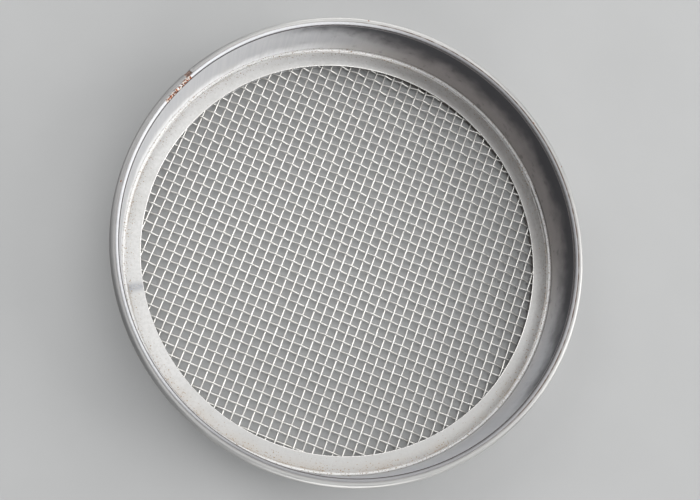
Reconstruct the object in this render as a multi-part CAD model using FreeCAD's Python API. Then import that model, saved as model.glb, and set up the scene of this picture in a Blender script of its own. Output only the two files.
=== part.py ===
import FreeCAD, Part
import math
import os

from FreeCAD import Vector

# Soil sieve. Millimetres, +Z up. The origin is at the middle of the underside, on the hoop's axis.
# The weft wires run along X and the warp wires along Y.

# hoop: rolled sheet wall with its bottom edge turned inward as a flange
rim_diameter = 300.0        # over the rim rod
wall_height = 42.0          # underside to the wall's top edge
sheet_thickness = 1.0
hoop_bend_radius = 2.0      # inside radius where the wall turns into the flange

# rim rod: round bar rolled round the outside of the wall's top edge, its ends left apart
rod_diameter = 5.0
rod_drop = 1.8              # wall's top edge down to the rod's centre line
rod_end_gap = 4.5
rod_gap_bearing = 156.8     # degrees from +X
weld_length = 23.0          # bead in the groove between the wall and the rod, from the gap onward
weld_radius = 1.3

# ring that clamps the mesh down on the flange
ring_width = 11.7           # over its lip, so the screen opening is 264 across
ring_thickness = 1.0
ring_lip_height = 3.2       # underside of the ring to the top of its turned-up outer lip
ring_bend_radius = 1.0      # inside radius of that lip
ring_wall_clearance = 0.3
flange_setback = 0.8        # the flange's edge lies this far under the ring's

# woven mesh
wire_diameter = 1.1
mesh_pitch = 6.2            # centre to centre, the same both ways
mesh_trim = 5.5             # the wires are cut this far short of the wall
weave_clearance = 0.05      # weft to warp, where they cross

# flat faces that stand for round ones, few because the mesh has so many
hoop_bend_flats = 1
ring_bend_flats = 1
rod_sides = 8
warp_sides = 4
weld_sides = 8

# values that follow from them
rod_radius = rod_diameter / 2
rod_circle_radius = rim_diameter / 2 - rod_radius
rod_centre_z = wall_height - rod_drop
wall_outer_radius = rim_diameter / 2 - rod_diameter
wall_inner_radius = wall_outer_radius - sheet_thickness
ring_outer_radius = wall_inner_radius - ring_wall_clearance
screen_radius = ring_outer_radius - ring_width
flange_inner_radius = screen_radius + flange_setback
wire_radius = wire_diameter / 2
mesh_radius = wall_inner_radius - mesh_trim
Z_AXIS = Vector(0, 0, 1)
ORIGIN = Vector(0, 0, 0)


def crimp_height():
    """Mesh mid-plane up to the weft's centre line where it rides over a straight warp wire."""
    reach = wire_radius + weave_clearance
    slope_share = (2 * reach / mesh_pitch) ** 2
    lift = wire_radius ** 2 - (1 - slope_share) * (wire_radius ** 2 - reach ** 2)
    return (wire_radius + math.sqrt(lift)) / (1 - slope_share)


crimp = crimp_height()
mesh_mid_z = sheet_thickness + crimp + wire_radius
ring_bottom_z = mesh_mid_z + crimp + wire_radius


def section_point(radius, z):
    """A point of a section drawn in the XZ plane, at this distance from the axis."""
    return Vector(radius, 0, z)


def arc_points(centre, radius, start_degrees, end_degrees, flats):
    """Points along an arc in the XZ plane, both ends included."""
    points = []
    for index in range(flats + 1):
        angle = math.radians(start_degrees + (end_degrees - start_degrees) * index / flats)
        points.append(centre + Vector(radius * math.cos(angle), 0, radius * math.sin(angle)))
    return points


def closed_face(points):
    """Flat face inside a closed outline."""
    return Part.Face(Part.makePolygon(points + points[:1]))


def round_section(centre, radius, sides):
    """Face of a round bar cut across, as a regular figure with a corner on either side."""
    return closed_face(arc_points(centre, radius, 0, 360, sides)[:-1])


def turned(shape, degrees):
    """The same shape turned round the hoop's axis."""
    result = shape.copy()
    result.rotate(ORIGIN, Z_AXIS, degrees)
    return result


def bent_sheet(inner_radius, outer_radius, bend_radius, thickness, bottom_z, top_z, flats):
    """Outline of an L section: a flat sheet that runs outward and then turns up."""
    outer_bend = bend_radius + thickness
    centre = section_point(outer_radius - outer_bend, bottom_z + outer_bend)
    outline = [section_point(inner_radius, bottom_z + thickness),
               section_point(inner_radius, bottom_z)]
    outline += arc_points(centre, outer_bend, -90, 0, flats)
    outline += [section_point(outer_radius, top_z),
                section_point(outer_radius - thickness, top_z)]
    outline += arc_points(centre, bend_radius, 0, -90, flats)
    return outline


def make_hoop():
    """Wall and bottom flange, one sheet."""
    outline = bent_sheet(flange_inner_radius, wall_outer_radius, hoop_bend_radius,
                         sheet_thickness, 0.0, wall_height, hoop_bend_flats)
    return closed_face(outline).revolve(ORIGIN, Z_AXIS, 360)


def make_clamp_ring():
    """Flat ring on the mesh, with a low lip turned up at the wall."""
    outline = bent_sheet(screen_radius, ring_outer_radius, ring_bend_radius, ring_thickness,
                         ring_bottom_z, ring_bottom_z + ring_lip_height, ring_bend_flats)
    return closed_face(outline).revolve(ORIGIN, Z_AXIS, 360)


def rod_section():
    """Section of the rim rod, in the XZ plane."""
    return round_section(section_point(rod_circle_radius, rod_centre_z), rod_radius, rod_sides)


def beside_the_gap(section, degrees):
    """Solid swept from the gap between the rod's ends onward, round the hoop's axis."""
    solid = section.revolve(ORIGIN, Z_AXIS, degrees)
    solid.rotate(ORIGIN, Z_AXIS, rod_gap_bearing + gap_degrees() / 2)
    return solid


def gap_degrees():
    """Angle that the gap between the rod's ends takes up."""
    return math.degrees(rod_end_gap / rod_circle_radius)


def make_rim_rod():
    """Rod turned almost all the way round, with its two ends facing across the gap."""
    return beside_the_gap(rod_section(), 360 - gap_degrees())


def make_rim_weld():
    """Bead in the groove beside the rod's end, cut to the wall's edge and to the rod."""
    centre = section_point(wall_inner_radius + weld_radius, wall_height)
    bead = round_section(centre, weld_radius, weld_sides)
    wall = closed_face([section_point(wall_inner_radius, 0),
                        section_point(wall_outer_radius, 0),
                        section_point(wall_outer_radius, wall_height),
                        section_point(wall_inner_radius, wall_height)])
    section = bead.cut(wall).cut(rod_section())
    largest = max(section.Faces, key=lambda face: face.Area)
    return beside_the_gap(largest, math.degrees(weld_length / rod_circle_radius))


def half_chord(radius, offset):
    """Half the length of a line across a circle, at this distance from its centre."""
    return math.sqrt(max(radius ** 2 - offset ** 2, 0.0))


def warp_wire(offset):
    """Straight wire along Y, in the mesh's mid-plane."""
    half_length = half_chord(mesh_radius, offset)
    section = round_section(ORIGIN, wire_radius, warp_sides)
    section.translate(Vector(offset, -half_length, mesh_mid_z))
    return section.extrude(Vector(0, 2 * half_length, 0))


def weft_path(row):
    """Points of a crimped wire along X, which rides over and under the warp wires in turn."""
    y = row * mesh_pitch
    open_half = half_chord(screen_radius, y)
    crossings = []
    for column in range(-warp_pairs, warp_pairs):
        x = (column + 0.5) * mesh_pitch
        side = 1 if (row + column) % 2 == 0 else -1
        if abs(x) < open_half:
            crossings.append(Vector(x, y, mesh_mid_z + side * crimp))
    end_x = half_chord(mesh_radius, y)
    first_z = crossings[0].z if crossings else mesh_mid_z + crimp
    last_z = crossings[-1].z if crossings else mesh_mid_z + crimp
    return [Vector(-end_x, y, first_z)] + crossings + [Vector(end_x, y, last_z)]


def three_sided(point):
    """Section of a weft wire: three-sided and as high as the wire is thick, flat side up."""
    half_width = wire_diameter / math.sqrt(3)
    return [point + Vector(0, -half_width, wire_radius),
            point + Vector(0, half_width, wire_radius),
            point + Vector(0, 0, -wire_radius)]


def weft_wire(row):
    """Crimped wire with flat faces along each straight run from crossing to crossing."""
    rings = [three_sided(point) for point in weft_path(row)]
    faces = []
    for here, there in zip(rings[:-1], rings[1:]):
        for side in range(3):
            after = (side + 1) % 3
            faces.append(closed_face([here[side], here[after], there[after], there[side]]))
    faces.append(closed_face(rings[0]))
    faces.append(closed_face(rings[-1]))
    return Part.makeSolid(Part.makeShell(faces))


def save(shape, name):
    """Write one sub-part to its own STEP file."""
    shape.exportStep("parts/" + name + ".step")


def save_pair(wire, opposite, name, number):
    """Write two wires that lie equally far from the middle, on either side, as one sub-part."""
    save(Part.makeCompound([wire, opposite]), f"{name}_{number:02d}")


# one weft wire lies across the middle, while the middle falls between two warp wires
weft_pairs = int(mesh_radius / mesh_pitch)
warp_pairs = int(mesh_radius / mesh_pitch + 0.5)

os.makedirs("parts", exist_ok=True)
save(make_hoop(), "body_hoop")
save(make_rim_rod(), "rim_rod")
save(make_rim_weld(), "rim_weld")
save(make_clamp_ring(), "clamp_ring")
save(weft_wire(0), "weft_wire_middle")
for number in range(1, weft_pairs + 1):
    save_pair(weft_wire(number), weft_wire(-number), "weft_wires", number)
for number in range(1, warp_pairs + 1):
    offset = (number - 0.5) * mesh_pitch
    save_pair(warp_wire(offset), warp_wire(-offset), "warp_wires", number)
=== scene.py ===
import bpy
import math
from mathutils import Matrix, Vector, noise


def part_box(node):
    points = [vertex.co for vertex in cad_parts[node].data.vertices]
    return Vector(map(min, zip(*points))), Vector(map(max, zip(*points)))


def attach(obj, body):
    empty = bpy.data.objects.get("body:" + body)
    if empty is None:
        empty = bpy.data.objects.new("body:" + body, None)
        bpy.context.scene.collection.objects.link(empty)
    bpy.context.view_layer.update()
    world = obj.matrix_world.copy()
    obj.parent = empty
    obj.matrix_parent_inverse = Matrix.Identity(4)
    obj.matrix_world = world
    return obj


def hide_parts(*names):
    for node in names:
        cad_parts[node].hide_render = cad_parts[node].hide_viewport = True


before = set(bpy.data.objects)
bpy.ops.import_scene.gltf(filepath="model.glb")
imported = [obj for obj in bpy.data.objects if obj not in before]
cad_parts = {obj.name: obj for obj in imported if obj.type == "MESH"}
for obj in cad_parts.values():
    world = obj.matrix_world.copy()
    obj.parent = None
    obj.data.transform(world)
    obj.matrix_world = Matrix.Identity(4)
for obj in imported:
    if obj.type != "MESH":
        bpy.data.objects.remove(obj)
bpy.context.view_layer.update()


def toMetres(millimetres):
    return millimetres / 1000


def hexColour(text):
    # sRGB hex to the linear colour that shaders expect
    linear = []
    for start in (0, 2, 4):
        value = int(text[start:start + 2], 16) / 255
        linear.append(value / 12.92 if value <= 0.04045 else ((value + 0.055) / 1.055) ** 2.4)
    return (*linear, 1.0)


def deselectAll():
    if bpy.context.mode != "OBJECT":
        bpy.ops.object.mode_set(mode="OBJECT")
    bpy.ops.object.select_all(action="DESELECT")


def makeActive(piece):
    deselectAll()
    piece.select_set(True)
    bpy.context.view_layer.objects.active = piece


def newPiece(name):
    # names the primitive that was just added and puts its place into its mesh
    piece = bpy.context.active_object
    piece.name = name
    piece.data.name = name
    makeActive(piece)
    bpy.ops.object.transform_apply(location=True, rotation=True, scale=True)
    return piece


def selectVertices(piece, isWanted):
    # leaves the piece in edit mode with only the wanted vertices selected
    makeActive(piece)
    bpy.ops.object.mode_set(mode="EDIT")
    bpy.ops.mesh.select_mode(type="VERT")
    bpy.ops.mesh.select_all(action="DESELECT")
    bpy.ops.object.mode_set(mode="OBJECT")
    for vertex in piece.data.vertices:
        vertex.select = isWanted(vertex.co)
    bpy.ops.object.mode_set(mode="EDIT")


def selectEverything(piece):
    makeActive(piece)
    bpy.ops.object.mode_set(mode="EDIT")
    bpy.ops.mesh.select_all(action="SELECT")


def applyModifiers(piece):
    makeActive(piece)
    for modifier in list(piece.modifiers):
        bpy.ops.object.modifier_apply(modifier=modifier.name)


def smoothByAngle(piece, degrees):
    makeActive(piece)
    bpy.ops.object.shade_smooth_by_angle(angle=math.radians(degrees))


def roundSharpEdges(piece, width, segments, degrees=40):
    bevel = piece.modifiers.new("edgeRound", "BEVEL")
    bevel.width = toMetres(width)
    bevel.segments = segments
    bevel.limit_method = "ANGLE"
    bevel.angle_limit = math.radians(degrees)
    applyModifiers(piece)


def finishPiece(piece, material, slotName, *nodes):
    piece.data.materials.clear()
    piece.data.materials.append(material)
    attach(piece, "root")
    if nodes:
        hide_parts(*nodes)


times = {"operation": "MULTIPLY"}
smoothStep = {"interpolation_type": "SMOOTHSTEP"}


def addNode(tree, kind, settings=None, output=0, **inputs):
    # one node with its settings, each input a value or a link; the wanted output comes back.
    # in0 means the first input, and an underscore stands for a space in an input's name
    node = tree.nodes.new(kind)
    for name, value in (settings or {}).items():
        setattr(node, name, value)
    for name, value in inputs.items():
        key = int(name[2:]) if name.startswith("in") and name[2:].isdigit() else name.replace("_", " ")
        if isinstance(value, bpy.types.NodeSocket):
            tree.links.new(value, node.inputs[key])
        else:
            node.inputs[key].default_value = value
    return node.outputs[output] if len(node.outputs) else None


def newMaterial(name):
    material = bpy.data.materials.new(name)
    material.use_nodes = True
    material.node_tree.nodes.clear()
    return material, material.node_tree


def finishSurface(tree, colour, metallic, roughness, relief=None):
    # relief is a pattern, its strength and its depth in mm
    inputs = {"Base_Color": colour, "Metallic": metallic, "Roughness": roughness}
    if relief:
        pattern, strength, depth = relief
        inputs["Normal"] = addNode(tree, "ShaderNodeBump", Strength=strength, Distance=toMetres(depth),
                                   Height=pattern)
    shader = addNode(tree, "ShaderNodeBsdfPrincipled", **inputs)
    addNode(tree, "ShaderNodeOutputMaterial", Surface=shader)


def placeOnHoop(tree):
    # a point's own place, and its distance round the wall, out from the axis and up, all in metres
    place = addNode(tree, "ShaderNodeTexCoord", output="Object")
    parts = addNode(tree, "ShaderNodeSeparateXYZ", Vector=place).node.outputs
    angle = addNode(tree, "ShaderNodeMath", {"operation": "ARCTAN2"}, in0=parts["Y"], in1=parts["X"])
    flat = addNode(tree, "ShaderNodeCombineXYZ", X=parts["X"], Y=parts["Y"])
    return {
        "place": place,
        "along": addNode(tree, "ShaderNodeMath", times, in0=angle, in1=wallOuter),
        "radius": addNode(tree, "ShaderNodeVectorMath", {"operation": "LENGTH"}, "Value", in0=flat),
        "height": parts["Z"],
    }


def grainAlong(tree, spot, sizes, detail=3.0):
    # noise whose grains have these sizes in mm round, across and up the hoop
    scaled = [addNode(tree, "ShaderNodeMath", times, in0=spot[way], in1=1000 / size)
              for way, size in zip(("along", "radius", "height"), sizes)]
    vector = addNode(tree, "ShaderNodeCombineXYZ", X=scaled[0], Y=scaled[1], Z=scaled[2])
    return addNode(tree, "ShaderNodeTexNoise", Vector=vector, Scale=1.0, Detail=detail)


def zone(tree, spot, bearing=None, out=None, height=None):
    # 1 in a zone of the hoop and 0 away from it, with soft borders.
    # bearing: its middle, half width and fade in degrees.
    # out, from the wall's outer face, and height: where the zone ends and where it is full, in mm
    masks = []
    if bearing:
        middle, halfWidth, fade = (math.radians(degrees) * wallOuter for degrees in bearing)
        offset = addNode(tree, "ShaderNodeMath", {"operation": "SUBTRACT"}, in0=spot["along"], in1=middle)
        # measured the shorter way round
        apart = addNode(tree, "ShaderNodeMath", {"operation": "PINGPONG"}, in0=offset,
                        in1=math.pi * wallOuter)
        masks.append(addNode(tree, "ShaderNodeMapRange", smoothStep, Value=apart, To_Min=1.0, To_Max=0.0,
                             From_Min=halfWidth, From_Max=halfWidth + fade))
    if out:
        masks.append(addNode(tree, "ShaderNodeMapRange", smoothStep, Value=spot["radius"],
                             From_Min=wallOuter + toMetres(out[0]), From_Max=wallOuter + toMetres(out[1])))
    if height:
        masks.append(addNode(tree, "ShaderNodeMapRange", smoothStep, Value=spot["height"],
                             From_Min=toMetres(height[0]), From_Max=toMetres(height[1])))
    return together(tree, masks)


def together(tree, masks):
    # the masks and plain numbers multiplied
    amount = masks[0]
    for mask in masks[1:]:
        amount = addNode(tree, "ShaderNodeMath", times, in0=amount, in1=mask)
    return amount


def layered(tree, colour, layers):
    # each tint goes over what is below it, as much as its masks say together
    for tint, *masks in layers:
        colour = addNode(tree, "ShaderNodeMix", {"data_type": "RGBA"}, 2, in0=together(tree, masks),
                         in6=colour, in7=hexColour(tint))
    return colour


# sizes from the frame, in metres
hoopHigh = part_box("body_hoop")[1]
rodLow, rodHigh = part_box("rim_rod")
ringLow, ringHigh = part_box("clamp_ring")
warpLow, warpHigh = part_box("warp_wires_01")
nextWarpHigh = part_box("warp_wires_02")[1]
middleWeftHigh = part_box("weft_wire_middle")[1]

wallOuter = hoopHigh.x
wallTop = hoopHigh.z
wireRadius = (warpHigh.z - warpLow.z) / 2
meshMiddle = (warpHigh.z + warpLow.z) / 2
meshPitch = nextWarpHigh.x - warpHigh.x
meshRadius = middleWeftHigh.x
print("frame loaded, pitch", round(meshPitch * 1000, 3), "mm")


def turnedSheet(name, outline, segments):
    # a ring of edges is pulled from point to point of the section, and the last is joined to the first
    deselectAll()
    bpy.ops.mesh.primitive_circle_add(vertices=segments, radius=outline[0][0],
                                      location=(0, 0, outline[0][1]))
    piece = newPiece(name)
    selectEverything(piece)
    for (radius, height), (nextRadius, nextHeight) in zip(outline[:-1], outline[1:]):
        bpy.ops.mesh.extrude_edges_move()
        scale = nextRadius / radius
        bpy.ops.transform.resize(value=(scale, scale, 1), center_override=(0, 0, 0))
        bpy.ops.transform.translate(value=(0, 0, nextHeight - height))
    bpy.ops.mesh.select_all(action="DESELECT")
    bpy.ops.mesh.select_non_manifold()
    bpy.ops.mesh.bridge_edge_loops()
    bpy.ops.mesh.select_all(action="SELECT")
    bpy.ops.mesh.normals_make_consistent(inside=False)
    bpy.ops.object.mode_set(mode="OBJECT")
    return piece


def bendPoints(centreRadius, centreHeight, radius, startDegrees, endDegrees, steps):
    points = []
    for step in range(steps + 1):
        angle = math.radians(startDegrees + (endDegrees - startDegrees) * step / steps)
        points.append((centreRadius + radius * math.cos(angle), centreHeight + radius * math.sin(angle)))
    return points


def angledSheet(inner, outer, bottom, top, thickness, bendRadius, steps):
    # section of a flat sheet that runs outward and turns up, with round bends
    outerBend = bendRadius + thickness
    centreRadius = outer - outerBend
    centreHeight = bottom + outerBend
    outline = [(inner, bottom + thickness), (inner, bottom)]
    outline += bendPoints(centreRadius, centreHeight, outerBend, -90, 0, steps)
    outline += [(outer, top), (outer - thickness, top)]
    outline += bendPoints(centreRadius, centreHeight, bendRadius, 0, -90, steps)
    return outline


hoop = {
    "segments": 256,
    "thickness": 1.0,        # mm
    "bendRadius": 2.0,
    "bendSteps": 6,
    "flangeWidth": 12.2,     # over the wall
    "edgeRound": 0.13,
    "edgeSegments": 2,
    "smoothAngle": 35,       # degrees
    "shoulderRadius": 0.95,  # the swelled top edge
    "shoulderOut": 0.45,     # how far its middle is outside the wall's outer face, over the rod
    "shoulderDrop": 0.25,
    "shoulderSteps": 14,
    "stepDrop": 1.2,         # the small step inside the shoulder, below the wall's top
}


def makeHoop(material):
    outline = angledSheet(wallOuter - toMetres(hoop["flangeWidth"]), wallOuter, 0.0, wallTop,
                          toMetres(hoop["thickness"]), toMetres(hoop["bendRadius"]), hoop["bendSteps"])
    # the square top gives way to a rounded shoulder that leans over the rod, with a small step inside it
    radius = toMetres(hoop["shoulderRadius"])
    middle = wallOuter + toMetres(hoop["shoulderOut"])
    outerTurn = math.degrees(math.acos((middle - wallOuter) / radius))
    stepHeight = wallTop - toMetres(hoop["stepDrop"])
    shoulder = bendPoints(middle, wallTop - toMetres(hoop["shoulderDrop"]), radius,
                          outerTurn - 180, 180, hoop["shoulderSteps"])
    shoulder += [(middle - radius, stepHeight), (wallOuter - toMetres(hoop["thickness"]), stepHeight)]
    topAt = outline.index((wallOuter, wallTop))
    outline[topAt:topAt + 2] = shoulder
    piece = turnedSheet("hoop_wall", outline, hoop["segments"])
    roundSharpEdges(piece, hoop["edgeRound"], hoop["edgeSegments"])
    smoothByAngle(piece, hoop["smoothAngle"])
    finishPiece(piece, material, "hoop_sheet", "body_hoop")
    print("hoop made")


ring = {
    "segments": 512,
    "thickness": 1.0,        # mm
    "width": 11.7,           # over its ridge
    "ridgeRadius": 1.3,
    "ridgeIn": 0.75,         # its middle inside the wall's inner face, so the wall hides its outer part
    "ridgeTopDrop": 0.15,    # its crest below the lip of the solid ring
    "ridgeSteps": 10,
    "tuck": 0.1,             # its outer edge runs this far into the wall's face
    "edgeRound": 0.38,
    "edgeSegments": 3,
    "edgeAngle": 60,         # degrees, bends sharper than this are rounded
    "smoothAngle": 35,
    "seamBearing": 40.9,     # from +X, where the rolled ring's ends meet
    "footWidth": 0.35,       # mm, the soft corner where the ridge meets the band
    "footLift": 0.12,        # the ridge's curve ends this far above the band
    "footRise": 0.02,
    "seamStep": 0.4,         # one end's ridge stands this far outside the other's
    "seamFade": 30.0,        # degrees over which that goes away
    "waviness": 0.1,
    "waveLength": 11.0,
}


def ringOutline():
    # flat band whose outer edge is rolled up into a rounded ridge against the wall
    bottom = ringLow.z
    top = bottom + toMetres(ring["thickness"])
    inner = ringHigh.x - toMetres(ring["width"])
    radius = toMetres(ring["ridgeRadius"])
    wallInner = wallOuter - toMetres(hoop["thickness"])
    middleRadius = wallInner - toMetres(ring["ridgeIn"])
    middleHeight = ringHigh.z - toMetres(ring["ridgeTopDrop"]) - radius
    # the arc starts where it meets the wall and ends just above the band
    outer = wallInner + toMetres(ring["tuck"])
    wallTurn = math.degrees(math.acos((outer - middleRadius) / radius))
    footTurn = 180 + math.degrees(math.asin((middleHeight - top - toMetres(ring["footLift"])) / radius))
    outline = [(inner, top), (inner, bottom), (outer, bottom)]
    outline += bendPoints(middleRadius, middleHeight, radius, wallTurn, footTurn, ring["ridgeSteps"])
    foot = middleRadius - radius - toMetres(ring["footWidth"])
    outline += [(foot, top + toMetres(ring["footRise"])), (foot - toMetres(ring["footWidth"]), top)]
    return outline


def unevenRidge(piece):
    # the ridge was rolled by hand: it wanders a little, and its two ends don't quite meet
    ridgeFrom = wallOuter - toMetres(ring["width"]) / 2
    for vertex in piece.data.vertices:
        reach = math.hypot(vertex.co.x, vertex.co.y)
        if reach < ridgeFrom or vertex.co.z < ringLow.z + toMetres(ring["thickness"] / 2):
            continue
        bearing = math.degrees(math.atan2(vertex.co.y, vertex.co.x))
        pastSeam = (ring["seamBearing"] - bearing) % 360
        step = toMetres(ring["seamStep"]) * max(0.0, 1 - pastSeam / ring["seamFade"])
        wave = toMetres(ring["waviness"]) * noise.noise(vertex.co / toMetres(ring["waveLength"]))
        inward = Vector((vertex.co.x, vertex.co.y, 0)) * (step + wave) / reach
        vertex.co -= inward


def makeClampRing(material):
    piece = turnedSheet("screen_clamp_ring", ringOutline(), ring["segments"])
    unevenRidge(piece)
    roundSharpEdges(piece, ring["edgeRound"], ring["edgeSegments"], ring["edgeAngle"])
    smoothByAngle(piece, ring["smoothAngle"])
    finishPiece(piece, material, "ring_sheet", "clamp_ring")
    print("clamp ring made")


rod = {
    "sides": 24,
    "steps": 252,
    "gap": 4.5,              # mm between its ends
    "gapBearing": 156.8,     # degrees from +X
    "endRound": 0.5,
    "endSegments": 2,
    "endAngle": 60,          # degrees
    "smoothAngle": 40,
}
rodRadius = (rodHigh.z - rodLow.z) / 2
rodCircle = rodHigh.x - rodRadius
rodMiddle = (rodHigh.z + rodLow.z) / 2
gapAngle = toMetres(rod["gap"]) / rodCircle
rodStart = math.radians(rod["gapBearing"]) + gapAngle / 2


def sweptRound(name, radius, circleRadius, height, sides, steps, startAngle, sweep):
    # a round section is set up at its bearing and spun about the hoop's axis
    deselectAll()
    bpy.ops.mesh.primitive_circle_add(
        vertices=sides, radius=radius,
        location=(circleRadius * math.cos(startAngle), circleRadius * math.sin(startAngle), height),
        rotation=(math.pi / 2, 0, startAngle))
    piece = newPiece(name)
    selectEverything(piece)
    bpy.ops.mesh.spin(steps=steps, angle=sweep, center=(0, 0, 0), axis=(0, 0, -1))
    bpy.ops.mesh.select_all(action="DESELECT")
    bpy.ops.mesh.select_non_manifold()
    bpy.ops.mesh.edge_face_add()
    bpy.ops.mesh.select_all(action="SELECT")
    bpy.ops.mesh.normals_make_consistent(inside=False)
    bpy.ops.object.mode_set(mode="OBJECT")
    return piece


def makeRimRod(material):
    piece = sweptRound("rim_bar", rodRadius, rodCircle, rodMiddle, rod["sides"], rod["steps"],
                       rodStart, 2 * math.pi - gapAngle)
    roundSharpEdges(piece, rod["endRound"], rod["endSegments"], rod["endAngle"])
    smoothByAngle(piece, rod["smoothAngle"])
    finishPiece(piece, material, "rim_rod", "rim_rod")
    print("rim rod made")


weld = {
    "length": 23.5,          # mm, along the groove
    "radius": 1.2,
    "circleOut": 0.3,        # its middle outside the wall's outer face
    "drop": 0.2,             # its middle below the wall's top
    "sides": 12,
    "steps": 60,
    "lump": 0.55,            # how far it swells and sinks
    "lumpSize": 1.2,
}

gapFill = {
    "radius": 2.45,          # mm
    "circleIn": 0.15,        # its middle inside the rod's
    "drop": 0.25,
    "sides": 18,
    "steps": 12,
    "lump": 0.45,
    "lumpSize": 1.4,
}


beadSwell = 0.9              # a lumpy bead's mean radius, as a share of the round it starts from
beadSmoothAngle = 60


def lumpyBead(name, bead, circleRadius, height, startAngle, sweep):
    # a swept round whose skin swells and sinks like cooled weld metal
    radius = toMetres(bead["radius"])
    lump = toMetres(bead["lump"])
    piece = sweptRound(name, radius, circleRadius, height, bead["sides"], bead["steps"], startAngle, sweep)
    for vertex in piece.data.vertices:
        angle = math.atan2(vertex.co.y, vertex.co.x)
        middle = Vector((circleRadius * math.cos(angle), circleRadius * math.sin(angle), height))
        swell = beadSwell + noise.noise(vertex.co / toMetres(bead["lumpSize"])) * lump / radius
        vertex.co = middle + (vertex.co - middle) * swell
    smoothByAngle(piece, beadSmoothAngle)
    return piece


def makeRimWeld(material):
    piece = lumpyBead("rim_tack_weld", weld, wallOuter + toMetres(weld["circleOut"]),
                      wallTop - toMetres(weld["drop"]), rodStart - gapAngle / 2,
                      toMetres(weld["length"]) / rodCircle)
    finishPiece(piece, material, "weld_bead", "rim_weld")
    print("weld made")


def makeGapFill(material):
    piece = lumpyBead("rim_gap_scale", gapFill, rodCircle - toMetres(gapFill["circleIn"]),
                      rodMiddle - toMetres(gapFill["drop"]), rodStart - gapAngle, gapAngle)
    finishPiece(piece, material, "weld_bead")
    print("rod gap filled")


weave = {
    "sides": 8,
    "rings": 12,             # rings of vertices in two pitches
    "weftCrimp": 0.88,       # mm, middle of the mesh to the wire's centre line at a crossing
    "warpCrimp": 0.25,
    "roundness": 0.45,       # share of a smooth wave in the crimp, the rest is straight runs
    "smoothAngle": 60,
}


def crimpWave(pitches):
    # +1 at a crossing, -1 at the next, with nearly straight runs between rounded bends
    phase = pitches % 2
    triangle = 1 - 2 * phase if phase < 1 else 2 * phase - 3
    return math.sin(triangle * math.pi / 2) * weave["roundness"] + triangle * (1 - weave["roundness"])


def makeCrimpUnit(name, crimp):
    # two pitches of wire along X, bent ring by ring
    unitLength = 2 * meshPitch
    deselectAll()
    bpy.ops.mesh.primitive_cylinder_add(vertices=weave["sides"], radius=wireRadius, depth=unitLength,
                                        end_fill_type="NOTHING", rotation=(0, math.pi / 2, 0),
                                        location=(unitLength / 2, 0, 0))
    piece = newPiece(name)
    makeActive(piece)
    bpy.ops.object.mode_set(mode="EDIT")
    bpy.ops.mesh.select_mode(type="EDGE")
    bpy.ops.mesh.select_all(action="DESELECT")
    bpy.ops.object.mode_set(mode="OBJECT")
    for edge in piece.data.edges:
        first, second = (piece.data.vertices[index].co for index in edge.vertices)
        edge.select = abs(first.x - second.x) > meshPitch
    bpy.ops.object.mode_set(mode="EDIT")
    bpy.ops.mesh.subdivide(number_cuts=weave["rings"] - 1)
    for index in range(weave["rings"] + 1):
        ringX = unitLength * index / weave["rings"]
        selectVertices(piece, lambda place: abs(place.x - ringX) < unitLength / weave["rings"] / 4)
        lift = toMetres(crimp) * crimpWave(ringX / meshPitch)
        bpy.ops.transform.translate(value=(0, 0, lift))
    bpy.ops.object.mode_set(mode="OBJECT")
    return piece


def makeLongWire(name, crimp):
    # the unit repeated until it is longer than any wire of the mesh, with a crossing at x = 0
    piece = makeCrimpUnit(name, crimp)
    unitCount = 2 * (int(meshRadius / (2 * meshPitch)) + 2)
    repeat = piece.modifiers.new("repeat", "ARRAY")
    repeat.count = unitCount
    repeat.use_relative_offset = False
    repeat.use_constant_offset = True
    repeat.constant_offset_displace = (2 * meshPitch, 0, 0)
    repeat.use_merge_vertices = True
    repeat.merge_threshold = wireRadius / 20
    applyModifiers(piece)
    selectEverything(piece)
    bpy.ops.transform.translate(value=(-unitCount * meshPitch, 0, 0))
    bpy.ops.object.mode_set(mode="OBJECT")
    return piece


def placedCopy(longWire, shift, turnQuarter, offset):
    # a copy of the long wire, slid along itself, turned to its direction and moved to its row
    copy = longWire.copy()
    copy.data = longWire.data.copy()
    bpy.context.collection.objects.link(copy)
    copy.location = (shift, 0, 0)
    makeActive(copy)
    bpy.ops.object.transform_apply(location=True)
    copy.rotation_euler = (0, 0, math.pi / 2 if turnQuarter else 0)
    copy.location = (offset, 0, meshMiddle) if turnQuarter else (0, offset, meshMiddle)
    bpy.ops.object.transform_apply(location=True, rotation=True)
    return copy


def trimmedTo(piece, halfLength, axis):
    # both ends are cut square and closed
    selectEverything(piece)
    for side in (1, -1):
        bpy.ops.mesh.select_all(action="SELECT")
        bpy.ops.mesh.bisect(plane_co=axis * halfLength * side, plane_no=axis * side,
                            use_fill=True, clear_outer=True)
    bpy.ops.mesh.select_all(action="SELECT")
    bpy.ops.mesh.normals_make_consistent(inside=False)
    bpy.ops.object.mode_set(mode="OBJECT")


def joined(first, second):
    makeActive(first)
    second.select_set(True)
    bpy.ops.object.join()
    return first


def makeWefts(material):
    longWire = makeLongWire("longWeft", weave["weftCrimp"])
    # x of a crossing where the middle weft rides over its warp wire
    overAt = meshPitch / 2
    lastRow = int(meshRadius / meshPitch)
    for row in range(lastRow + 1):
        halfLength = math.sqrt(meshRadius ** 2 - (row * meshPitch) ** 2)
        shift = overAt + (row % 2) * meshPitch
        wires = [placedCopy(longWire, shift, False, row * meshPitch)]
        if row > 0:
            wires.append(placedCopy(longWire, shift, False, -row * meshPitch))
            joined(wires[0], wires[1])
        piece = wires[0]
        trimmedTo(piece, halfLength, Vector((1, 0, 0)))
        piece.name = f"weft_pair_{row:02d}" if row else "weft_middle"
        smoothByAngle(piece, weave["smoothAngle"])
        finishPiece(piece, material, "screen_wire", f"weft_wires_{row:02d}" if row else "weft_wire_middle")
    bpy.data.objects.remove(longWire)
    print("weft wires made", lastRow + 1)


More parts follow.
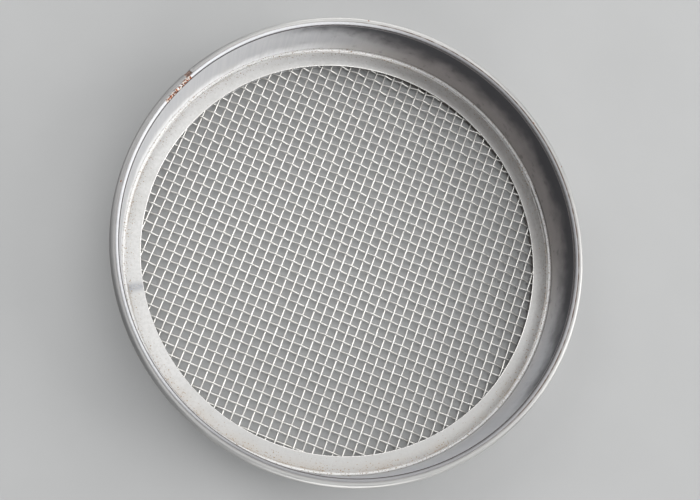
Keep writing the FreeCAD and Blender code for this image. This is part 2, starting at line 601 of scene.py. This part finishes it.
def makeWarps(material):
    longWire = makeLongWire("longWarp", weave["warpCrimp"])
    lastColumn = int(meshRadius / meshPitch + 0.5)
    for column in range(1, lastColumn + 1):
        offset = (column - 0.5) * meshPitch
        halfLength = math.sqrt(meshRadius ** 2 - offset ** 2)
        # a warp wire dips where the weft rides over it, so it is one pitch out of step
        right = placedCopy(longWire, (column % 2) * meshPitch, True, offset)
        left = placedCopy(longWire, ((column + 1) % 2) * meshPitch, True, -offset)
        piece = joined(right, left)
        trimmedTo(piece, halfLength, Vector((0, 1, 0)))
        piece.name = f"warp_pair_{column:02d}"
        smoothByAngle(piece, weave["smoothAngle"])
        finishPiece(piece, material, "screen_wire", f"warp_wires_{column:02d}")
    bpy.data.objects.remove(longWire)
    print("warp wires made", lastColumn)


sheetFinish = {
    "colours": ("c1c2c5", "cacacc"),
    "streak": (1.5, 4.0, 45.0),        # mm round, across and up the hoop
    "cloud": 22.0,                     # mm
    "blot": 7.0,
    "inside": (-0.4, -0.8),            # mm from the wall's outer face
    "film": (6.0, 22.0),               # mm up, where the dust is thickest and where it is thinnest
    "dullShadeSide": (-42.0, 40.0, 30.0),   # degrees: middle, half width, fade
    "hazeShadeSide": (56.0, 28.0, 42.0),
    "stainSide": (52.0, 30.0, 60.0),
    "stainFoot": (13.0, 34.0),         # mm up, where the painted shade starts and where it is full
    "stainTop": (41.0, 40.3),          # and where it has ended, just below the shoulder
    "stainRise": 18.0,                 # mm, how much higher the painted shade starts at its two ends
    "wander": (16.0, 8.0),             # mm, how far clouds and blots shift its border
    "shoulder": (41.0, 41.4),          # mm up
    "shoulderShadeSide": (-5.0, 85.0, 45.0),    # degrees, as above
    "shoulderHighlightSide": (156.0, 12.0, 25.0),
    "creviceDirtShadeSide": (0.0, 75.0, 30.0),
    "crevice": (1.1, -0.2),            # mm above the ring's ridge
    "footReflectionSide": (165.0, 30.0, 30.0),
    "reflectionFoot": (8.0, 19.0),         # mm up
    "step": (-0.98, -0.90, -0.53, -0.46),  # mm from the wall's outer face, inner border then outer
    "stepUp": (40.0, 40.5),
    "metallic": 0.35,
}


def rolledStainless():
    # 304 sheet rolled into a hoop: satin, with fine upright streaks and a thin film of dust low down;
    # painted shade on the upper part of one side, on the shoulder there and in the step inside it, and a
    # painted highlight on the shoulder and a painted reflection at the foot of the wall on the other side
    material, tree = newMaterial("rolled_stainless_sheet")
    spot = placeOnHoop(tree)
    streaks = grainAlong(tree, spot, sheetFinish["streak"])
    clouds = addNode(tree, "ShaderNodeTexNoise", Vector=spot["place"], Scale=1000 / sheetFinish["cloud"],
                     Detail=3.0)
    blots = addNode(tree, "ShaderNodeTexNoise", Vector=spot["place"], Scale=1000 / sheetFinish["blot"],
                    Detail=4.0)
    satin = addNode(tree, "ShaderNodeMapRange", smoothStep, Value=streaks, From_Min=0.35, From_Max=0.7)
    filmFull, filmThin = (toMetres(value) for value in sheetFinish["film"])
    film = addNode(tree, "ShaderNodeMapRange", smoothStep, Value=spot["height"], From_Min=filmFull,
                   From_Max=filmThin, To_Min=1.0, To_Max=0.25)
    inside = zone(tree, spot, out=sheetFinish["inside"])
    side = zone(tree, spot, bearing=sheetFinish["stainSide"])
    # the borders wander up and down with the clouds and blots
    border = spot["height"]
    for pattern, reach in zip((clouds, blots), sheetFinish["wander"]):
        shift = addNode(tree, "ShaderNodeMath", {"operation": "SUBTRACT"}, in0=pattern, in1=0.5)
        border = addNode(tree, "ShaderNodeMath", {"operation": "MULTIPLY_ADD"}, in0=shift,
                         in1=toMetres(reach), in2=border)
    # the painted shade reaches less far down towards its two ends
    towardsEnds = addNode(tree, "ShaderNodeMath", {"operation": "SUBTRACT"}, in0=side, in1=1.0)
    shadeBorder = addNode(tree, "ShaderNodeMath", {"operation": "MULTIPLY_ADD"}, in0=towardsEnds,
                          in1=toMetres(sheetFinish["stainRise"]), in2=border)
    shadeStart, shadeFull = (toMetres(value) for value in sheetFinish["stainFoot"])
    upper = addNode(tree, "ShaderNodeMapRange", smoothStep, Value=shadeBorder, From_Min=shadeStart,
                    From_Max=shadeFull)
    shadeEnds = addNode(tree, "ShaderNodeMapRange", smoothStep, Value=side, From_Min=0.0, From_Max=0.3)
    blotted = addNode(tree, "ShaderNodeMapRange", smoothStep, Value=blots, From_Min=0.60, From_Max=0.70,
                      To_Max=0.35)
    footFull, footEnd = (toMetres(value) for value in sheetFinish["reflectionFoot"])
    foot = addNode(tree, "ShaderNodeMapRange", smoothStep, Value=border, From_Min=footFull,
                   From_Max=footEnd, To_Min=1.0, To_Max=0.0)
    reflectionStreaks = addNode(tree, "ShaderNodeMapRange", smoothStep, Value=streaks, From_Min=0.3, From_Max=0.6,
                   To_Min=0.72, To_Max=1.0)
    crevice = [ringHigh.z * 1000 + rise for rise in sheetFinish["crevice"]]
    stepIn, stepInFull, stepOutFull, stepOut = sheetFinish["step"]
    colour = layered(tree, hexColour(sheetFinish["colours"][0]), (
        (sheetFinish["colours"][1], satin),
        # dust film, then a bluish painted shade and a brown painted shade on two sides
        ("d6d3ce", film, clouds),
        ("8b8e95", zone(tree, spot, bearing=sheetFinish["dullShadeSide"]), inside, 0.35),
        ("7c726d", zone(tree, spot, bearing=sheetFinish["hazeShadeSide"]), inside, 0.72),
        # painted shade on the upper part of that side, with darker painted blots in it
        ("39393d", shadeEnds, upper, zone(tree, spot, height=sheetFinish["stainTop"]), inside, 0.94),
        ("4a4748", side, inside, blotted),
        # painted shade on the shoulder all along that side, and a painted highlight on it near the weld
        ("7f7e7f", zone(tree, spot, bearing=sheetFinish["shoulderShadeSide"], height=sheetFinish["shoulder"]), 0.88),
        ("d3d3d5", zone(tree, spot, bearing=sheetFinish["shoulderHighlightSide"], height=sheetFinish["shoulder"])),
        # dirt along the top of the ring's ridge, deepened by painted shade in the corner on that side
        ("5d554f", zone(tree, spot, bearing=sheetFinish["creviceDirtShadeSide"], height=crevice), inside, 0.6),
        # a streaky painted reflection of the bright ring, white on the foot of the wall on that side
        ("f4f4f5", zone(tree, spot, bearing=sheetFinish["footReflectionSide"]), foot, inside, reflectionStreaks),
        # painted shade in the step inside the shoulder
        ("4c4746", zone(tree, spot, out=(stepIn, stepInFull), height=sheetFinish["stepUp"]),
         zone(tree, spot, out=(stepOut, stepOutFull))),
    ))
    rough = addNode(tree, "ShaderNodeMapRange", smoothStep, Value=streaks, From_Min=0.3, From_Max=0.75,
                    To_Min=0.4, To_Max=0.48)
    finishSurface(tree, colour, sheetFinish["metallic"], rough, (streaks, 0.05, 0.2))
    return material


ringFinish = {
    "colours": ("aeadab", "b8b7b5"),
    "cloud": 14.0,                     # mm
    "mottle": 1.6,
    "speck": 0.95,
    "dash": (2.4, 1.2, 1.2),           # mm round, across and up
    "outward": (-11.0, -3.5),          # mm from the wall's outer face, more towards the ridge
    "ridge": (-3.3, -2.9),
    "foot": (-4.0, -3.5),
    "innerEdgeHighlight": (-12.5, -12.9),
    "shadeRampFrom": (-4.5, -10.5),
    "litSide": (122.0, 25.0, 25.0),   # degrees: middle, half width, fade
    "dullShadeSide": (-55.0, 35.0, 45.0),
    "stainSide": (55.0, 22.0, 35.0),
    "soilSide": (-70.0, 35.0, 40.0),
    "smudgeAt": (-147.3, 0.0, 2.2),
    "crowding": 0.09,                  # added to the specks' noise at the ridge
    "metallic": 0.95,
    "scuffedMetallic": -0.55,          # added to it on the ridge
}


def dustyStainless():
    # flat stainless ring under a dry film of potting dust: matt and pale, specked with brown near the
    # wall, its inner edge rubbed clean and given a painted highlight, its ridge scuffed white in short dashes
    # and lightened by a painted highlight, with painted light on one side and painted shade on the other
    material, tree = newMaterial("dusty_stainless_ring")
    spot = placeOnHoop(tree)
    clouds = addNode(tree, "ShaderNodeTexNoise", Vector=spot["place"], Scale=1000 / ringFinish["cloud"],
                     Detail=3.0)
    mottle = addNode(tree, "ShaderNodeTexNoise", Vector=spot["place"], Scale=1000 / ringFinish["mottle"],
                     Detail=5.0)
    specks = addNode(tree, "ShaderNodeTexNoise", Vector=spot["place"], Scale=1000 / ringFinish["speck"],
                     Detail=2.0)
    dashes = grainAlong(tree, spot, ringFinish["dash"], 2.0)
    outward = zone(tree, spot, out=ringFinish["outward"])
    ridge = zone(tree, spot, out=ringFinish["ridge"])
    paler = addNode(tree, "ShaderNodeMapRange", smoothStep, Value=mottle, From_Min=0.35, From_Max=0.65)
    worn = addNode(tree, "ShaderNodeMapRange", smoothStep, Value=clouds, From_Min=0.45, From_Max=0.75,
                   To_Max=0.35)
    # painted shade, darkest at its inner edge
    shadeRampFrom, shadeRampFull = (wallOuter + toMetres(value) for value in ringFinish["shadeRampFrom"])
    shadeInward = addNode(tree, "ShaderNodeMapRange", smoothStep, Value=spot["radius"], From_Min=shadeRampFrom,
                   From_Max=shadeRampFull, To_Min=0.1, To_Max=0.66)
    soil = addNode(tree, "ShaderNodeMapRange", smoothStep, Value=clouds, From_Min=0.35, From_Max=0.65,
                   To_Min=0.1, To_Max=0.4)
    smudge = addNode(tree, "ShaderNodeMapRange", smoothStep, Value=mottle, From_Min=0.3, From_Max=0.6,
                     To_Min=0.35, To_Max=0.8)
    scuffs = addNode(tree, "ShaderNodeMapRange", smoothStep, Value=dashes, From_Min=0.4, From_Max=0.65,
                     To_Min=0.8, To_Max=1.0)
    footDirt = addNode(tree, "ShaderNodeMapRange", smoothStep, Value=clouds, From_Min=0.42, From_Max=0.65,
                       To_Min=0.05, To_Max=0.45)
    # specks lie closer together towards the ridge
    crowded = addNode(tree, "ShaderNodeMath", {"operation": "MULTIPLY_ADD"}, in0=outward,
                      in1=ringFinish["crowding"], in2=specks)
    specked = addNode(tree, "ShaderNodeMapRange", smoothStep, Value=crowded, From_Min=0.69, From_Max=0.74)
    ridgeFoot, ridgeFull = ringFinish["ridge"]
    colour = layered(tree, hexColour(ringFinish["colours"][0]), (
        (ringFinish["colours"][1], paler),
        ("9f9d99", worn),
        # painted light on one side, painted shade on another, painted shade carried on from the wall's
        # and darkest at the inner edge, a tint of soil and one smudge
        ("c6c5c3", zone(tree, spot, bearing=ringFinish["litSide"]), outward),
        ("959492", zone(tree, spot, bearing=ringFinish["dullShadeSide"]), 0.6),
        ("6f6c6a", zone(tree, spot, bearing=ringFinish["stainSide"]), shadeInward),
        ("a79e93", zone(tree, spot, bearing=ringFinish["soilSide"]), outward, soil),
        ("84868a", zone(tree, spot, bearing=ringFinish["smudgeAt"]), smudge),
        # scuffs on the ridge, lightened further by a painted highlight
        ("d2d1cf", ridge, scuffs),
        ("7a6a58", zone(tree, spot, out=ringFinish["foot"]), zone(tree, spot, out=(ridgeFull, ridgeFoot)),
         footDirt),
        # a painted highlight along the inner edge, on metal rubbed clean
        ("eceae6", zone(tree, spot, out=ringFinish["innerEdgeHighlight"])),
        ("7d6547", specked, 0.8),
    ))
    # the scuffed ridge shows less bare metal
    metallic = addNode(tree, "ShaderNodeMath", {"operation": "MULTIPLY_ADD"}, in0=ridge,
                       in1=ringFinish["scuffedMetallic"], in2=ringFinish["metallic"])
    rough = addNode(tree, "ShaderNodeMapRange", smoothStep, Value=mottle, From_Min=0.3, From_Max=0.7,
                    To_Min=0.31, To_Max=0.38)
    finishSurface(tree, colour, metallic, rough, (mottle, 0.15, 0.2))
    return material


rodFinish = {
    "colours": ("aaa9a7", "b9b8b5"),
    "drawLine": (18.0, 0.5, 0.5),      # mm round, across and up
    "cloud": 6.0,                      # mm
    "rustSpot": 3.2,
    "groove": (2.1, 1.4),              # mm from the wall's outer face
    "grooveDirtShadeSide": (40.0, 50.0, 35.0),  # degrees, where painted shade darkens the groove's dirt most
    "topShadeSide": (-30.0, 75.0, 35.0),
    "top": (3.6, 1.8),                 # mm from the wall's outer face
    "shadedSide": (195.0, 25.0, 45.0),
    "metallic": 0.8,
}


def drawnRod():
    # drawn stainless bar: long faint draw lines, brown dirt packed in the groove beside the wall,
    # deepened by painted shade on one side, and painted shade on its top and on another side
    material, tree = newMaterial("drawn_stainless_bar")
    spot = placeOnHoop(tree)
    lines = grainAlong(tree, spot, rodFinish["drawLine"])
    clouds = addNode(tree, "ShaderNodeTexNoise", Vector=spot["place"], Scale=1000 / rodFinish["cloud"],
                     Detail=3.0)
    spots = addNode(tree, "ShaderNodeTexNoise", Vector=spot["place"], Scale=1000 / rodFinish["rustSpot"],
                    Detail=1.0)
    drawn = addNode(tree, "ShaderNodeMapRange", smoothStep, Value=lines, From_Min=0.35, From_Max=0.65)
    packed = addNode(tree, "ShaderNodeMapRange", smoothStep, Value=clouds, From_Min=0.3, From_Max=0.6,
                     To_Min=0.35, To_Max=1.0)
    grooveDirtShadeSide = addNode(tree, "ShaderNodeMapRange", smoothStep, From_Min=0.0, From_Max=1.0, To_Min=0.15,
                         Value=zone(tree, spot, bearing=rodFinish["grooveDirtShadeSide"]))
    rusted = addNode(tree, "ShaderNodeMapRange", smoothStep, Value=spots, From_Min=0.77, From_Max=0.80)
    colour = layered(tree, hexColour(rodFinish["colours"][0]), (
        (rodFinish["colours"][1], drawn),
        ("767575", zone(tree, spot, bearing=rodFinish["shadedSide"]), 0.7),
        # painted shade on top towards the groove, on that side
        ("7b7a79", zone(tree, spot, out=rodFinish["top"], bearing=rodFinish["topShadeSide"]), 0.5),
        ("5e4c40", zone(tree, spot, out=rodFinish["groove"]), packed, grooveDirtShadeSide),
        ("7d4f35", rusted),
    ))
    rough = addNode(tree, "ShaderNodeMapRange", smoothStep, Value=lines, From_Min=0.3, From_Max=0.7,
                    To_Min=0.43, To_Max=0.51)
    finishSurface(tree, colour, rodFinish["metallic"], rough, (lines, 0.1, 0.2))
    return material


weldFinish = {
    "crust": 1.1,                      # mm
    "patch": 1.3,
    "metallic": 0.2,
}


def rustyWeld():
    # mild steel tack weld: pale scaly beads with orange and dark brown rust between them
    material, tree = newMaterial("rusted_tack_weld")
    place = addNode(tree, "ShaderNodeTexCoord", output="Object")
    crust = addNode(tree, "ShaderNodeTexNoise", Vector=place, Scale=1000 / weldFinish["crust"], Detail=4.0)
    patches = addNode(tree, "ShaderNodeTexNoise", Vector=place, Scale=1000 / weldFinish["patch"], Detail=2.0)
    orange = addNode(tree, "ShaderNodeMapRange", smoothStep, Value=crust, From_Min=0.38, From_Max=0.62)
    pale = addNode(tree, "ShaderNodeMapRange", smoothStep, Value=patches, From_Min=0.50, From_Max=0.56)
    rough = addNode(tree, "ShaderNodeMapRange", smoothStep, Value=patches, From_Min=0.45, From_Max=0.56,
                    To_Min=0.8, To_Max=0.4)
    colour = layered(tree, hexColour("4f2c1e"), (("a9623f", orange), ("d3ccc2", pale)))
    finishSurface(tree, colour, weldFinish["metallic"], rough, (crust, 0.6, 0.4))
    return material


scaleFinish = {
    "crust": 1.3,                      # mm
    "metallic": 0.1,
    "roughness": 0.7,
}


def grimyScale():
    # brown grime and mill scale left at the bottom of the rod's gap
    material, tree = newMaterial("grimy_mill_scale")
    place = addNode(tree, "ShaderNodeTexCoord", output="Object")
    crust = addNode(tree, "ShaderNodeTexNoise", Vector=place, Scale=1000 / scaleFinish["crust"], Detail=4.0)
    paler = addNode(tree, "ShaderNodeMapRange", smoothStep, Value=crust, From_Min=0.35, From_Max=0.65)
    colour = layered(tree, hexColour("5e463c"), (("8d776c", paler),))
    finishSurface(tree, colour, scaleFinish["metallic"], scaleFinish["roughness"], (crust, 0.5, 0.4))
    return material


wireFinish = {
    "colours": ("dedbd5", "eceae6"),
    "scuff": 2.2,                      # mm
    "metallic": 0.75,
}


def drawnWire():
    # bright drawn stainless wire, scuffed on top, with painted shade on its sides and underside
    material, tree = newMaterial("drawn_stainless_wire")
    coordinates = addNode(tree, "ShaderNodeTexCoord").node.outputs
    scuffs = addNode(tree, "ShaderNodeTexNoise", Vector=coordinates["Object"],
                     Scale=1000 / wireFinish["scuff"], Detail=4.0)
    scuffed = addNode(tree, "ShaderNodeMapRange", smoothStep, Value=scuffs, From_Min=0.35, From_Max=0.7)
    # painted shade, darker as the wire's surface turns away from facing up
    upward = addNode(tree, "ShaderNodeSeparateXYZ", output="Z", Vector=coordinates["Normal"])
    sideShade = addNode(tree, "ShaderNodeMapRange", smoothStep, Value=upward, From_Min=0.05, From_Max=0.55,
                     To_Min=0.85, To_Max=0.0)
    rough = addNode(tree, "ShaderNodeMapRange", smoothStep, Value=scuffs, From_Min=0.3, From_Max=0.7,
                    To_Min=0.34, To_Max=0.46)
    colour = layered(tree, hexColour(wireFinish["colours"][0]), (
        (wireFinish["colours"][1], scuffed),
        ("4a4642", sideShade),
    ))
    finishSurface(tree, colour, wireFinish["metallic"], rough)
    return material


def paleFloor():
    # matt painted board, faintly uneven in tone
    material, tree = newMaterial("pale_floor")
    place = addNode(tree, "ShaderNodeTexCoord", output="Object")
    mottle = addNode(tree, "ShaderNodeTexNoise", Vector=place, Scale=1000 / studio["floorMottle"], Detail=4.0)
    colour = layered(tree, hexColour(studio["floorColours"][0]), ((studio["floorColours"][1], mottle),))
    finishSurface(tree, colour, 0.0, studio["floorRoughness"])
    return material


studio = {
    "floorSize": 8.0,        # m
    "floorDrop": 0.2,        # mm below the sieve's underside, so the two never share a plane
    "floorColours": ("a6a6a5", "acacab"),
    "floorMottle": 60.0,     # mm
    "floorRoughness": 0.85,
    "worldColour": "dfe4ec",
    "worldStrength": 0.3,
}

softboxes = {
    # bearing from +X and rise in degrees, distance and size in metres, power in watts
    "overhead": {"bearing": 40.0, "rise": 72.0, "distance": 2.5, "size": 3.2, "power": 43.0},
    "window": {"bearing": 18.0, "rise": 20.0, "distance": 6.0, "size": 4.4, "power": 240.0},
    "near": {"bearing": 300.0, "rise": 16.0, "distance": 6.0, "size": 4.4, "power": 215.0},
    "fill": {"bearing": 165.0, "rise": 14.0, "distance": 6.0, "size": 4.4, "power": 65.0},
    "high": {"bearing": 158.0, "rise": 44.0, "distance": 4.0, "size": 2.0, "power": 38.0},
    "far": {"bearing": 95.0, "rise": 14.0, "distance": 6.0, "size": 4.4, "power": 168.0},
}


def addSoftbox(name, settings):
    bearing = math.radians(settings["bearing"])
    rise = math.radians(settings["rise"])
    towards = Vector((math.cos(bearing) * math.cos(rise), math.sin(bearing) * math.cos(rise), math.sin(rise)))
    deselectAll()
    bpy.ops.object.light_add(type="AREA", location=towards * settings["distance"])
    lamp = bpy.context.active_object
    lamp.name = name
    lamp.data.shape = "DISK"
    lamp.data.size = settings["size"]
    lamp.data.energy = settings["power"]
    lamp.visible_camera = False
    lamp.rotation_euler = (-towards).to_track_quat("-Z", "Y").to_euler()


def makeStudio():
    deselectAll()
    bpy.ops.mesh.primitive_plane_add(size=studio["floorSize"],
                                     location=(0, 0, -toMetres(studio["floorDrop"])))
    floor = newPiece("floor")
    floor.data.materials.append(paleFloor())

    world = bpy.data.worlds.new("studio")
    world.use_nodes = True
    world.node_tree.nodes.clear()
    sky = addNode(world.node_tree, "ShaderNodeBackground", Color=hexColour(studio["worldColour"]),
                  Strength=studio["worldStrength"])
    addNode(world.node_tree, "ShaderNodeOutputWorld", Surface=sky)
    bpy.context.scene.world = world
    for name, settings in softboxes.items():
        addSoftbox(name, settings)


view = {
    "place": (-62.91, -156.53, 557.76),      # mm
    "turn": (12.409, -7.605, 21.361),        # degrees
    "lens": 44.76,                           # mm
    "sensor": 36,
    "shiftX": 0.1,
    "nearest": 10,
}


def makeCamera():
    data = bpy.data.cameras.new("camera")
    data.lens = view["lens"]
    data.sensor_width = view["sensor"]
    data.shift_x = view["shiftX"]
    camera = bpy.data.objects.new("camera", data)
    bpy.context.collection.objects.link(camera)
    camera.location = [toMetres(value) for value in view["place"]]
    camera.rotation_euler = [math.radians(value) for value in view["turn"]]
    data.clip_start = toMetres(view["nearest"])
    bpy.context.scene.camera = camera
    bpy.context.scene.view_settings.view_transform = "Standard"


makeStudio()
makeCamera()
makeHoop(rolledStainless())
makeClampRing(dustyStainless())
makeRimRod(drawnRod())
makeRimWeld(rustyWeld())
makeGapFill(grimyScale())
wire = drawnWire()
makeWefts(wire)
makeWarps(wire)
